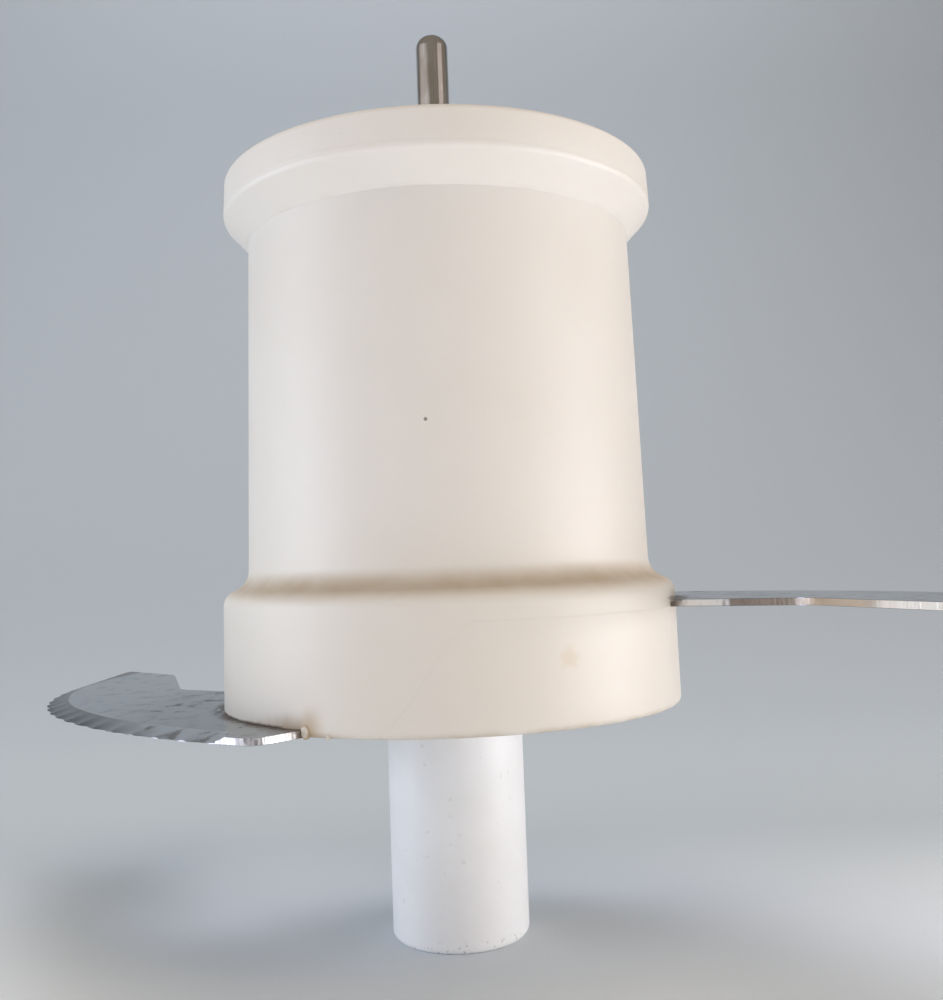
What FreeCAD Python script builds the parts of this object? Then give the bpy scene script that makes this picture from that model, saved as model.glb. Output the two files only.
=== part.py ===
"""Chopping knife of a food processor, on its lift-out drive shaft.

Millimetres. +Z runs up the axis of rotation, from the motor end to the locating pin.
The origin is the centre of the drive shaft's lower end face. The upper knife blade lies
towards +X and the lower one towards -X. Seen from above, the knife turns anticlockwise.
"""
import FreeCAD, Part
import math
import os
from FreeCAD import Vector

# ---- drive shaft (acetal) and locating pin (steel) ----
shaft_radius = 10.2
shaft_reach = 34.1            # shaft showing below the hub
shaft_edge_round = 1.2
drive_hex_flats = 15.0        # hexagon that turns the knife, above the shoulder
drive_hex_length = 16.5
socket_flats = 11.0           # hexagon for the motor spindle
socket_depth = 16.0
pilot_radius = 3.5            # round bore that centres the spindle's nose
pilot_depth = 12.0
socket_lead_in = 0.6
pin_radius = 2.5
pin_stand = 21.8              # pin showing above the nose
pin_tip_round = 2.0
pin_grip = 26.0               # length moulded into the shaft's nose
pin_groove_depth = 0.4
pin_groove_width = 1.6
pin_groove_pitch = 5.0
pin_groove_count = 4
nose_radius = 5.0             # round nose of the shaft that carries the pin
nose_stand = 3.0              # nose showing above the hub cap
nose_edge_round = 0.8

# ---- hub (insert moulding around the blades), heights counted from its foot ----
collar_foot_radius = 34.0
collar_top_radius = 33.8
collar_corner_height = 16.0   # where the collar's wall starts to round over
collar_corner_round = 2.3
ledge_fillet = 3.2
barrel_foot_radius = 30.1
neck_radius = 29.05
neck_height = 69.9
hub_edge_round = 0.8
cavity_foot_radius = 27.0
cavity_roof_radius = 26.0
pocket_depth = 8.4            # from the spigot's top down to the web
web_thickness = 3.5
boss_radius = 14.5
hexagon_cover = 5.0           # web and boss above the drive hexagon
guide_length = 8.0            # round guide of the boss, below the shoulder
rib_thickness = 2.0
rib_depth = 10.0
rib_count = 6

# ---- hub cap (finger grip welded on top of the hub) ----
spigot_radius = 27.4
spigot_height = 4.0
spigot_wall = 2.9
flange_radius = 32.6
flange_cone_rise = 4.0
flange_draft = 0.2
cap_height = 9.4
cap_edge_round = 0.8
cap_wall = 3.5
dish_radius = 28.5
dish_depth = 1.0
cap_ring_width = 3.0          # raised ring around the hole for the nose

# ---- blades (stainless steel, one stamping used twice) ----
blade_thickness = 1.0
upper_blade_height = 14.0     # underside of the upper blade above the hub's foot
edge_arc_radius = 97.6        # long arc of the cutting edge
edge_arc_x = 22.65
edge_arc_y = 51.95
heel_corner_angle = 241.4     # end of the long arc, at the unground heel
heel_round = 3.0
heel_exit_angle = 236.3       # where the heel enters the collar
ground_start_angle = 237.7    # where grinding starts on the long arc
edge_turn_angle = 213.0       # where the long arc gives way to the next one
edge_turn_radius = 71.0
tip_corner_y = 65.2           # sharp corner of the tip, before rounding
tip_round = 1.0
back_slope = -43.0            # direction of the edge behind the tip, in degrees
back_length = 21.0
back_round = 8.0
root_corner = (-47.3, 23.7)
root_round = 6.0
root_exit_angle = 156.5       # where the back enters the collar
tang_inner_radius = 28.6
tang_outer_radius = 32.6
tang_start_angle = 138.0
tang_end_angle = 254.0
anchor_radius = 1.1
anchor_flare = 0.3
anchor_count = 4
bevel_width = 3.3
bevel_edge_thickness = 0.15
flute_radius = 12.5
flute_pitch = 5.4
flute_depth = 0.27

# ---- clearances ----
running_clearance = 0.15      # lower boss bore around the shaft
hex_clearance = 0.15          # per flat, hub on the drive hexagon
nose_clearance = 0.3          # nose through the web and the cap
end_clearance = 0.5           # above the drive hexagon
weld_clearance = 0.05         # cap on its spigot
overshoot = 1.0               # how far a cutter runs past the face it opens

hub_foot = shaft_reach
neck_z = hub_foot + neck_height
spigot_top_z = neck_z + spigot_height
web_top_z = spigot_top_z - pocket_depth
roof_z = web_top_z - web_thickness
hexagon_top_z = web_top_z - hexagon_cover
shoulder_z = hexagon_top_z - drive_hex_length
boss_foot_z = shoulder_z - guide_length
cap_top_z = neck_z + cap_height
nose_top_z = cap_top_z + nose_stand
pin_tip_z = nose_top_z + pin_stand
nose_hole_radius = nose_radius + nose_clearance
pocket_radius = spigot_radius - spigot_wall


def polar(radius, degrees):
    """Point in plan at a radius and an angle."""
    angle = math.radians(degrees)
    return Vector(radius * math.cos(angle), radius * math.sin(angle), 0)


def line(start, end):
    """Straight edge between two points."""
    return Part.LineSegment(start, end).toShape()


def arc(start, middle, end):
    """Circular edge through three points."""
    return Part.Arc(start, middle, end).toShape()


def section(radius, height):
    """Point of a turned section, in the XZ plane."""
    return Vector(radius, 0, height)


def turned(edges):
    """Solid of revolution from the closed run of edges."""
    face = Part.Face(Part.Wire(edges))
    return face.revolve(Vector(0, 0, 0), Vector(0, 0, 1), 360)


def turned_polygon(points):
    """Solid of revolution from a polygon of (radius, height) points."""
    corners = [section(radius, height) for radius, height in points]
    corners.append(corners[0])
    return turned([Part.makePolygon(corners)])


def rounded_corner(centre, radius, start_degrees, end_degrees):
    """Quarter-round of a turned section, about a centre given as (radius, height)."""
    def at(degrees):
        angle = math.radians(degrees)
        return section(centre[0] + radius * math.cos(angle),
                       centre[1] + radius * math.sin(angle))
    return arc(at(start_degrees), at((start_degrees + end_degrees) / 2), at(end_degrees))


def joined(edges):
    """The edges in order, with straight runs added across the gaps between them."""
    run = []
    for index, edge in enumerate(edges):
        run.append(edge)
        here = edge.lastVertex(True).Point
        there = edges[(index + 1) % len(edges)].firstVertex(True).Point
        if here.distanceToPoint(there) > 1e-6:
            run.append(line(here, there))
    return run


def hexagon_prism(flats, bottom, top):
    """Hexagonal bar with two flats facing +X and -X."""
    corner_radius = flats / math.sqrt(3)
    corners = [polar(corner_radius, 30 + 60 * side) for side in range(7)]
    face = Part.Face(Part.makePolygon(corners))
    face.translate(Vector(0, 0, bottom))
    return face.extrude(Vector(0, 0, top - bottom))


def tube_cutter(radius, bottom, top):
    """Plain round cutter on the axis."""
    return Part.makeCylinder(radius, top - bottom, Vector(0, 0, bottom))


def make_pin():
    """Steel pin with a rounded tip, and grooves that hold it in the shaft's nose."""
    foot = nose_top_z - pin_grip
    tip_centre = (pin_radius - pin_tip_round, pin_tip_z - pin_tip_round)
    edges = joined([
        line(section(0, foot), section(pin_radius, foot)),
        rounded_corner(tip_centre, pin_tip_round, 0, 90),
        line(section(0, pin_tip_z), section(0, foot)),
    ])
    pin = turned(edges)
    for groove in range(pin_groove_count):
        high = nose_top_z - pin_groove_pitch * groove
        low = high - pin_groove_width
        ring = tube_cutter(pin_radius + overshoot, low, high)
        core = tube_cutter(pin_radius - pin_groove_depth, low, high)
        pin = pin.cut(ring.cut(core))
    return pin


def make_shaft(pin):
    """Acetal shaft: round, then hexagonal, then a nose; the spindle's socket in its foot."""
    low_round = (shaft_radius - shaft_edge_round, shaft_edge_round)
    shoulder_round = (shaft_radius - shaft_edge_round / 2,
                      shoulder_z - shaft_edge_round / 2)
    body = turned(joined([
        line(section(0, 0), section(shaft_radius - shaft_edge_round, 0)),
        rounded_corner(low_round, shaft_edge_round, -90, 0),
        rounded_corner(shoulder_round, shaft_edge_round / 2, 0, 90),
        line(section(0, shoulder_z), section(0, 0)),
    ]))
    hexagon = hexagon_prism(drive_hex_flats, shoulder_z - overshoot, hexagon_top_z)
    nose_round = (nose_radius - nose_edge_round, nose_top_z - nose_edge_round)
    nose = turned(joined([
        line(section(0, hexagon_top_z - overshoot), section(nose_radius,
                                                            hexagon_top_z - overshoot)),
        rounded_corner(nose_round, nose_edge_round, 0, 90),
        line(section(0, nose_top_z), section(0, hexagon_top_z - overshoot)),
    ]))
    socket = hexagon_prism(socket_flats, -overshoot, socket_depth)
    pilot = tube_cutter(pilot_radius, socket_depth - overshoot, socket_depth + pilot_depth)
    mouth_radius = socket_flats / math.sqrt(3) + socket_lead_in
    lead_in = Part.makeCone(mouth_radius, mouth_radius - 2 * socket_lead_in, 2 * socket_lead_in)
    body = body.fuse([hexagon, nose]).removeSplitter()
    return body.cut([socket, pilot, lead_in, pin])


def ledge_curve():
    """Convex corner of the collar and the hollow fillet that meets it, up to the barrel."""
    corner = (collar_top_radius - collar_corner_round, hub_foot + collar_corner_height)
    reach = collar_corner_round + ledge_fillet
    across = barrel_foot_radius + ledge_fillet - corner[0]
    rise = math.sqrt(reach * reach - across * across)
    fillet = (corner[0] + across, corner[1] + rise)
    lean = math.degrees(math.atan2(rise, across))
    return [
        rounded_corner(corner, collar_corner_round, 0, lean),
        rounded_corner(fillet, ledge_fillet, 180 + lean, 180),
    ]


def hub_outside():
    """Solid outer form of the hub: collar, ledge, tapered barrel and the cap's spigot."""
    foot_round = (collar_foot_radius - hub_edge_round, hub_foot + hub_edge_round)
    return turned(joined([
        line(section(0, hub_foot), section(collar_foot_radius - hub_edge_round, hub_foot)),
        rounded_corner(foot_round, hub_edge_round, -90, 0),
        *ledge_curve(),
        line(section(neck_radius, neck_z), section(spigot_radius, neck_z)),
        line(section(spigot_radius, spigot_top_z), section(0, spigot_top_z)),
        line(section(0, spigot_top_z), section(0, hub_foot)),
    ]))


def hub_cavity():
    """Hollow underside that goes over the bowl's centre tube, and the pocket under the cap."""
    hollow = turned_polygon([
        (0, hub_foot - overshoot), (cavity_foot_radius, hub_foot - overshoot),
        (cavity_foot_radius, hub_foot), (cavity_roof_radius, roof_z), (0, roof_z)])
    pocket = tube_cutter(pocket_radius, web_top_z, spigot_top_z + overshoot)
    return [hollow, pocket]


def hub_boss():
    """Central boss below the web, with the ribs that carry it."""
    boss = tube_cutter(boss_radius, boss_foot_z, web_top_z)
    boss_parts = [boss]
    reach = cavity_roof_radius + web_thickness / 2
    for number in range(rib_count):
        rib = Part.makeBox(reach, rib_thickness, rib_depth + web_thickness / 2,
                           Vector(0, -rib_thickness / 2, roof_z - rib_depth))
        rib.rotate(Vector(0, 0, 0), Vector(0, 0, 1), 360 * (number + 0.5) / rib_count)
        boss_parts.append(rib)
    return boss_parts


def hub_bores():
    """Round guide, hexagonal drive socket and hole for the nose, through the boss."""
    guide = tube_cutter(shaft_radius + running_clearance,
                        boss_foot_z - overshoot, shoulder_z)
    socket_top = hexagon_top_z + end_clearance
    socket = hexagon_prism(drive_hex_flats + 2 * hex_clearance,
                           shoulder_z - overshoot, socket_top)
    nose_hole = tube_cutter(nose_hole_radius, socket_top - overshoot, web_top_z + overshoot)
    return [guide, socket, nose_hole]


def make_hub(blades):
    """Hub moulded around the tangs of both blades."""
    hub = hub_outside().cut(hub_cavity())
    hub = hub.fuse(hub_boss()).removeSplitter()
    return hub.cut(hub_bores()).cut(blades)


def make_cap():
    """Flanged cap: cone above the neck, upright band, dished top with a hole for the nose."""
    band_foot_z = neck_z + flange_cone_rise
    band_top_radius = flange_radius - flange_draft
    edge_centre = (band_top_radius - cap_edge_round, cap_top_z - cap_edge_round)
    dish_z = cap_top_z - dish_depth
    ring_radius = nose_hole_radius + cap_ring_width
    ceiling_z = cap_top_z - cap_wall
    bore_radius = spigot_radius + weld_clearance
    step_z = spigot_top_z + weld_clearance
    return turned(joined([
        line(section(nose_hole_radius, ceiling_z), section(pocket_radius, ceiling_z)),
        line(section(pocket_radius, step_z), section(bore_radius, step_z)),
        line(section(bore_radius, neck_z), section(neck_radius, neck_z)),
        line(section(flange_radius, band_foot_z), section(band_top_radius, edge_centre[1])),
        rounded_corner(edge_centre, cap_edge_round, 0, 90),
        line(section(dish_radius, cap_top_z), section(dish_radius - dish_depth, dish_z)),
        line(section(ring_radius + dish_depth, dish_z), section(ring_radius, cap_top_z)),
        line(section(nose_hole_radius, cap_top_z), section(nose_hole_radius, ceiling_z)),
    ]))


class CuttingEdge:
    """Plan of the cutting edge: a long arc from the heel, a tighter arc, then a straight run."""

    def __init__(self):
        self.centre = Vector(edge_arc_x, edge_arc_y, 0)
        self.heel = self.centre + polar(edge_arc_radius, heel_corner_angle)
        self.turn = self.centre + polar(edge_arc_radius, edge_turn_angle)
        self.turn_centre = self.turn - polar(edge_turn_radius, edge_turn_angle)
        self.straight = self.turn_centre + polar(edge_turn_radius, 180)
        self.tip = Vector(self.straight.x, tip_corner_y, 0)
        self.long_length = edge_arc_radius * math.radians(ground_start_angle - edge_turn_angle)
        self.tight_length = edge_turn_radius * math.radians(edge_turn_angle - 180)
        self.length = self.long_length + self.tight_length + self.tip.y - self.straight.y

    def at(self, distance):
        """Point on the ground edge and its outward direction in degrees."""
        if distance < self.long_length:
            angle = ground_start_angle - math.degrees(distance / edge_arc_radius)
            return self.centre + polar(edge_arc_radius, angle), angle
        distance -= self.long_length
        if distance < self.tight_length:
            angle = edge_turn_angle - math.degrees(distance / edge_turn_radius)
            return self.turn_centre + polar(edge_turn_radius, angle), angle
        distance -= self.tight_length
        return self.straight + Vector(0, distance, 0), 180


def blade_outline(edge):
    """Plan of the wing, closed inside the collar, and its corners with their roundings."""
    back_end = edge.tip + polar(back_length, back_slope)
    root = Vector(root_corner[0], root_corner[1], 0)
    root_exit = polar(tang_outer_radius, root_exit_angle)
    heel_exit = polar(tang_outer_radius, heel_exit_angle)
    long_middle = polar(edge_arc_radius, (heel_corner_angle + edge_turn_angle) / 2)
    tight_middle = polar(edge_turn_radius, (edge_turn_angle + 180) / 2)
    outline = [
        arc(edge.heel, edge.centre + long_middle, edge.turn),
        arc(edge.turn, edge.turn_centre + tight_middle, edge.straight),
        line(edge.straight, edge.tip),
        line(edge.tip, back_end),
        line(back_end, root),
        line(root, root_exit),
        line(root_exit, heel_exit),
        line(heel_exit, edge.heel),
    ]
    corners = [(edge.heel, heel_round), (edge.tip, tip_round),
               (back_end, back_round), (root, root_round)]
    return outline, corners


def bevel_section(outline_radius):
    """Wedge that is ground off the top of the edge, as (distance outwards, height) points."""
    slope = (blade_thickness - bevel_edge_thickness) / bevel_width
    return [
        (outline_radius - bevel_width, blade_thickness),
        (outline_radius - bevel_width, blade_thickness + overshoot),
        (outline_radius + overshoot, blade_thickness + overshoot),
        (outline_radius + overshoot, bevel_edge_thickness - slope * overshoot),
    ]


def bevel_cutters(edge):
    """The ground bevel along the two arcs and the straight run of the cutting edge."""
    cutters = []
    arcs = [
        (edge.centre, edge_arc_radius, edge_turn_angle, ground_start_angle),
        (edge.turn_centre, edge_turn_radius, 180, edge_turn_angle),
    ]
    for centre, radius, low, high in arcs:
        corners = [section(out, height) for out, height in bevel_section(radius)]
        face = Part.Face(Part.makePolygon(corners + corners[:1]))
        wedge = face.revolve(Vector(0, 0, 0), Vector(0, 0, 1), high - low)
        wedge.rotate(Vector(0, 0, 0), Vector(0, 0, 1), low)
        wedge.translate(centre)
        cutters.append(wedge)
    corners = [Vector(edge.straight.x - out, edge.straight.y, height)
               for out, height in bevel_section(0)]
    face = Part.Face(Part.makePolygon(corners + corners[:1]))
    cutters.append(face.extrude(edge.tip - edge.straight))
    return cutters


def flute_cutters(edge):
    """Hollow flutes across the bevel, which leave the edge scalloped."""
    drop = blade_thickness - bevel_edge_thickness + flute_depth
    slope = math.degrees(math.atan2(drop, bevel_width))
    length = 2 * bevel_width + 2 * overshoot
    count = int(edge.length / flute_pitch)
    cutters = []
    for number in range(count):
        point, outward = edge.at((number + 0.6) * flute_pitch)
        flute = Part.makeCylinder(flute_radius, length, Vector(-bevel_width - overshoot, 0, 0),
                                  Vector(1, 0, 0))
        flute.translate(Vector(0, 0, flute_radius))
        flute.rotate(Vector(0, 0, 0), Vector(0, 1, 0), slope)
        flute.translate(Vector(0, 0, bevel_edge_thickness - flute_depth))
        flute.rotate(Vector(0, 0, 0), Vector(0, 0, 1), outward)
        flute.translate(point)
        cutters.append(flute)
    return cutters


def rounded_plan(edges, corners):
    """Plate cut from the outline, with each (corner, radius) rounded over."""
    plate = Part.Face(Part.Wire(edges)).extrude(Vector(0, 0, blade_thickness))
    for corner, radius in corners:
        sharp = [upright for upright in plate.Edges
                 if len(upright.Vertexes) == 2
                 and all(math.hypot(end.X - corner.x, end.Y - corner.y) < 1e-4
                         for end in upright.Vertexes)]
        plate = plate.makeFillet(radius, sharp)
    return plate


def tang_and_anchors():
    """Curved tang inside the collar's wall, and the flared holes that the plastic fills."""
    outer = tube_cutter(tang_outer_radius, 0, blade_thickness)
    inner = tube_cutter(tang_inner_radius, -overshoot, blade_thickness + overshoot)
    spread = tang_end_angle - tang_start_angle
    wedge = Part.makeCylinder(collar_foot_radius, blade_thickness, Vector(0, 0, 0),
                              Vector(0, 0, 1), spread)
    wedge.rotate(Vector(0, 0, 0), Vector(0, 0, 1), tang_start_angle)
    tang = outer.cut(inner).common(wedge)
    middle = (tang_inner_radius + tang_outer_radius) / 2
    holes = []
    for number in range(anchor_count):
        place = polar(middle, tang_start_angle + spread * (number + 0.5) / anchor_count)
        hole = Part.makeCylinder(anchor_radius, blade_thickness, place)
        flare = Part.makeCone(anchor_radius + anchor_flare, anchor_radius, anchor_flare, place)
        holes.append(hole.fuse(flare))
    return tang, holes


def make_blade():
    """One stamped, ground and fluted blade, lying on z = 0 towards -X."""
    edge = CuttingEdge()
    wing = rounded_plan(*blade_outline(edge))
    tang, holes = tang_and_anchors()
    blade = wing.fuse(tang).removeSplitter()
    blade = blade.cut(bevel_cutters(edge)).cut(flute_cutters(edge))
    blade = blade.cut(tube_cutter(tang_inner_radius, -overshoot, blade_thickness + overshoot))
    return blade.cut(holes)


def place_blades():
    """The lower blade flush with the hub's foot, and its twin half a turn round, higher up."""
    lower = make_blade()
    upper = lower.copy()
    upper.rotate(Vector(0, 0, 0), Vector(0, 0, 1), 180)
    lower.translate(Vector(0, 0, hub_foot))
    upper.translate(Vector(0, 0, hub_foot + upper_blade_height))
    return lower, upper


def build():
    """Every piece by its node name."""
    pin = make_pin()
    lower_blade, upper_blade = place_blades()
    return {
        "drive_shaft": make_shaft(pin),
        "locating_pin": pin,
        "hub": make_hub([lower_blade, upper_blade]),
        "hub_cap": make_cap(),
        "lower_blade": lower_blade,
        "upper_blade": upper_blade,
    }


os.makedirs("parts", exist_ok=True)
for name, piece in build().items():
    solid = piece.Solids[0]
    print(name, len(piece.Solids), "solid", solid.isValid(), round(solid.Volume, 1))
    solid.exportStep("parts/" + name + ".step")
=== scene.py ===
import math
import bpy
from mathutils import Matrix, Vector


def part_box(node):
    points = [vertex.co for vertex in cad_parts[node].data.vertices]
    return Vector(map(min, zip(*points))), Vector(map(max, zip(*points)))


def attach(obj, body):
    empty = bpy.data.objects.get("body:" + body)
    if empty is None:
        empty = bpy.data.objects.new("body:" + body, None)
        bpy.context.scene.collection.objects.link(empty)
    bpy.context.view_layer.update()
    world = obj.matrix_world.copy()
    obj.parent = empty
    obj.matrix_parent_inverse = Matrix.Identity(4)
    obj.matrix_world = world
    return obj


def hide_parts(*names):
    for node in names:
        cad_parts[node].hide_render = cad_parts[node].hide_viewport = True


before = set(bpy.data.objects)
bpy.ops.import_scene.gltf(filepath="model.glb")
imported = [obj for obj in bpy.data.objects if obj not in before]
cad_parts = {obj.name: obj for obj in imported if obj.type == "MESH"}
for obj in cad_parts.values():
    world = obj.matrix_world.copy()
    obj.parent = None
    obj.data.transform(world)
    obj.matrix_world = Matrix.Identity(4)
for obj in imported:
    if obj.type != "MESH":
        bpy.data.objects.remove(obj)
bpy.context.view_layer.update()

mm = 0.001

# ---------------------------------------------------------------------------------------
# Locating pin. Ground 5 mm stainless bar with a rounded tip; it runs in the bearing in the
# bowl's lid. It goes into the mould first, and the shaft's nose is moulded round its foot.
# ---------------------------------------------------------------------------------------
pin_low, pin_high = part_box("locating_pin")
pin_radius = pin_high.x
pin_tip_round = 2.0 * mm


def start_disc(name, radius, height, sides):
    """A flat disc on the axis, open for editing, from which a turned piece is drawn up."""
    bpy.ops.object.select_all(action="DESELECT")
    bpy.ops.mesh.primitive_circle_add(vertices=sides, radius=radius, fill_type="NGON",
                                      location=(0, 0, height))
    bpy.ops.object.transform_apply(location=True, rotation=False, scale=False)
    piece = bpy.context.object
    piece.name = name
    bpy.ops.object.mode_set(mode="EDIT")
    bpy.ops.mesh.select_all(action="SELECT")
    return piece


def draw_up(start, rings):
    """Extrudes the selected face from one (radius, height) ring through all the others."""
    radius, height = start
    for next_radius, next_height in rings:
        bpy.ops.mesh.extrude_region_move(
            TRANSFORM_OT_translate={"value": (0, 0, next_height - height)})
        factor = next_radius / radius
        bpy.ops.transform.resize(value=(factor, factor, 1),
                                 center_override=(0, 0, next_height))
        radius, height = next_radius, next_height


def rounding(centre_radius, centre_height, radius, start, end, steps):
    """(radius, height) rings round a corner, between two angles in degrees."""
    rings = []
    for step in range(steps + 1):
        angle = math.radians(start + (end - start) * step / steps)
        rings.append((centre_radius + radius * math.cos(angle),
                      centre_height + radius * math.sin(angle)))
    return rings


def close_up(piece, sharp_degrees):
    """Ends editing: joins doubles, turns all faces outwards and smooths gentle edges."""
    if bpy.context.mode != "EDIT_MESH":
        bpy.ops.object.select_all(action="DESELECT")
        piece.select_set(True)
        bpy.context.view_layer.objects.active = piece
        bpy.ops.object.mode_set(mode="EDIT")
    bpy.ops.mesh.select_all(action="SELECT")
    bpy.ops.mesh.remove_doubles(threshold=0.001 * mm)
    bpy.ops.mesh.normals_make_consistent(inside=False)
    bpy.ops.object.mode_set(mode="OBJECT")
    bpy.ops.object.shade_smooth_by_angle(angle=math.radians(sharp_degrees))
    return piece


class Signal:
    """One output of a material's node; sums on it are written as sums."""

    def __init__(self, socket):
        self.socket = socket

    def node(self, kind, settings=None, inputs=None, output=0):
        """A further node of this material, with its settings and then its sockets."""
        tree = self.socket.id_data
        made = tree.nodes.new("ShaderNode" + kind)
        for name, value in (settings or {}).items():
            if name == "stops":
                set_stops(made.color_ramp, value)
            else:
                setattr(made, name, value)
        for name, value in (inputs or {}).items():
            if isinstance(value, Signal):
                tree.links.new(value.socket, made.inputs[name])
            else:
                made.inputs[name].default_value = value
        return Signal(made.outputs[output])

    def math(self, operation, *others):
        values = {place: value for place, value in enumerate((self,) + others)}
        return self.node("Math", {"operation": operation}, values)

    def __add__(self, other):
        return self.math("ADD", other)

    def __sub__(self, other):
        return self.math("SUBTRACT", other)

    def __rsub__(self, other):
        return (self * -1.0).math("ADD", other)

    def __mul__(self, other):
        return self.math("MULTIPLY", other)

    def __truediv__(self, other):
        return self.math("DIVIDE", other)

    def bump_at(self, centre, width):
        """1 where this equals centre, falling to 0 at width either side of it."""
        away = (self - centre).math("ABSOLUTE") / width
        return (1.0 - away).math("MAXIMUM", 0.0)

    def between(self, low, high):
        """0 below low, 1 above high, smooth in between."""
        settings = {"interpolation_type": "SMOOTHSTEP", "clamp": True}
        return self.node("MapRange", settings, {"Value": self, "From Min": low,
                                                "From Max": high})

    def mix(self, other, factor):
        """This colour, with the other one over it by factor."""
        mixed = self.node("Mix", {"data_type": "RGBA"}, {0: factor})
        node = mixed.socket.node
        for socket, value in ((node.inputs[6], self), (node.inputs[7], other)):
            if isinstance(value, Signal):
                self.socket.id_data.links.new(value.socket, socket)
            else:
                socket.default_value = value
        return Signal(node.outputs[2])


def set_stops(ramp, stops):
    """Sets a ramp's (position, colour) stops."""
    while len(ramp.elements) < len(stops):
        ramp.elements.new(0.5)
    for element, (position, colour) in zip(ramp.elements, stops):
        element.position = position
        element.color = colour


def finish(name, **constants):
    """A new material with its shader's constants, and the place on the piece in mm."""
    material = bpy.data.materials.new(name)
    material.use_nodes = True
    shader = material.node_tree.nodes["Principled BSDF"]
    for socket, value in constants.items():
        title = socket.replace("_", " ").title().replace("Ior", "IOR")
        shader.inputs[title].default_value = value
    first = material.node_tree.nodes.new("ShaderNodeTexCoord")
    place = Signal(first.outputs["Object"])
    scaled = place.node("VectorMath", {"operation": "SCALE"}, {"Vector": place,
                                                              "Scale": 1 / mm})
    return material, scaled


def wire(material, **signals):
    """Connects signals to the shader's sockets."""
    shader = material.node_tree.nodes["Principled BSDF"]
    for socket, signal in signals.items():
        material.node_tree.links.new(signal.socket, shader.inputs[socket.replace("_", " ")])


def noise(place, scale, detail=3.0, stretch=(1, 1, 1), output=0):
    """Noise of a given count per mm, squeezed along any axis by stretch."""
    squeezed = place.node("VectorMath", {"operation": "MULTIPLY"}, {0: place, 1: stretch})
    return place.node("TexNoise", {}, {"Vector": squeezed, "Scale": scale, "Detail": detail},
                      output)


def bump(height, distance, strength=1.0, under=None):
    """A Bump node on a height signal, over another one if given."""
    inputs = {"Height": height, "Distance": distance, "Strength": strength}
    if under is not None:
        inputs["Normal"] = under
    return height.node("Bump", {}, inputs)


pin_tip = rounding(pin_radius - pin_tip_round, pin_high.z - pin_tip_round, pin_tip_round,
                   0, 90, 8)
pin = start_disc("locating_pin_bar", pin_radius, pin_low.z, 64)
draw_up((pin_radius, pin_low.z), pin_tip)
close_up(pin, 40)

steel_bar, place = finish("ground_steel_bar", metallic=1.0)
drawn = noise(place, 1.0, 4.0, (6.0, 6.0, 0.12))
stain = noise(place, 0.35, 3.0, (1.0, 1.0, 0.35)).between(0.45, 0.7)
pin_colour = drawn.node("ValToRGB", {"stops": [(0.25, (0.50, 0.47, 0.45, 1)),
                                               (0.75, (0.64, 0.63, 0.62, 1))]}, {0: drawn})
pin_colour = pin_colour.mix((0.30, 0.24, 0.19, 1), stain * 0.4)
wire(steel_bar, Base_Color=pin_colour, Roughness=drawn * 0.10 + 0.12,
     Normal=bump(drawn, 0.02 * mm, 0.1))
pin.data.materials.append(steel_bar)
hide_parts("locating_pin")
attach(pin, "shaft")

# ---------------------------------------------------------------------------------------
# Drive shaft. White acetal moulded round the pin: round where it runs in the bowl's tube,
# hexagonal where it turns the knife, with a nose above and the spindle's socket below.
# ---------------------------------------------------------------------------------------
shaft_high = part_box("drive_shaft")[1]
shaft_radius = shaft_high.x
shaft_edge_round = 1.2 * mm
shoulder_height = 78.1 * mm
hexagon_flats = 15.0 * mm
hexagon_top = shoulder_height + 16.5 * mm
nose_radius = 5.0 * mm
socket_flats = 11.0 * mm
socket_depth = 16.0 * mm
pilot_radius = 3.5 * mm
pilot_depth = 12.0 * mm


def bar(name, radius, low, high, sides, turn=0.0):
    """A plain bar on the axis, used to cut or to build up a piece."""
    bpy.ops.object.select_all(action="DESELECT")
    bpy.ops.mesh.primitive_cylinder_add(vertices=sides, radius=radius, depth=high - low,
                                        location=(0, 0, (low + high) / 2),
                                        rotation=(0, 0, turn))
    bpy.ops.object.transform_apply(location=True, rotation=True, scale=False)
    made = bpy.context.object
    made.name = name
    return made


def combine(piece, tool, operation):
    """Cuts the piece with the tool, or joins it on, and takes the tool away."""
    bpy.ops.object.select_all(action="DESELECT")
    piece.select_set(True)
    bpy.context.view_layer.objects.active = piece
    cut = piece.modifiers.new("cut", "BOOLEAN")
    cut.operation = operation
    cut.solver = "EXACT"
    cut.object = tool
    bpy.ops.object.modifier_apply(modifier=cut.name)
    bpy.data.objects.remove(tool)
    return piece


def hexagon(name, flats, low, high):
    """A hexagonal bar with two flats facing left and right."""
    return bar(name, flats / math.sqrt(3), low, high, 6)


shaft = start_disc("drive_shaft_body", shaft_radius - shaft_edge_round, 0, 160)
draw_up((shaft_radius - shaft_edge_round, 0),
        rounding(shaft_radius - shaft_edge_round, shaft_edge_round, shaft_edge_round,
                 -90, 0, 8)[1:]
        + rounding(shaft_radius - shaft_edge_round / 2, shoulder_height
                   - shaft_edge_round / 2, shaft_edge_round / 2, 0, 90, 5))
close_up(shaft, 35)
combine(shaft, hexagon("drive_hexagon", hexagon_flats, shoulder_height - mm, hexagon_top),
        "UNION")
nose = start_disc("shaft_nose", nose_radius, hexagon_top - mm, 96)
draw_up((nose_radius, hexagon_top - mm),
        rounding(nose_radius - 0.8 * mm, shaft_high.z - 0.8 * mm, 0.8 * mm, 0, 90, 6))
close_up(nose, 35)
combine(shaft, nose, "UNION")
combine(shaft, hexagon("spindle_socket", socket_flats, -mm, socket_depth), "DIFFERENCE")
combine(shaft, bar("spindle_pilot", pilot_radius, socket_depth - mm,
                   socket_depth + pilot_depth, 64), "DIFFERENCE")
close_up(shaft, 35)

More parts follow.
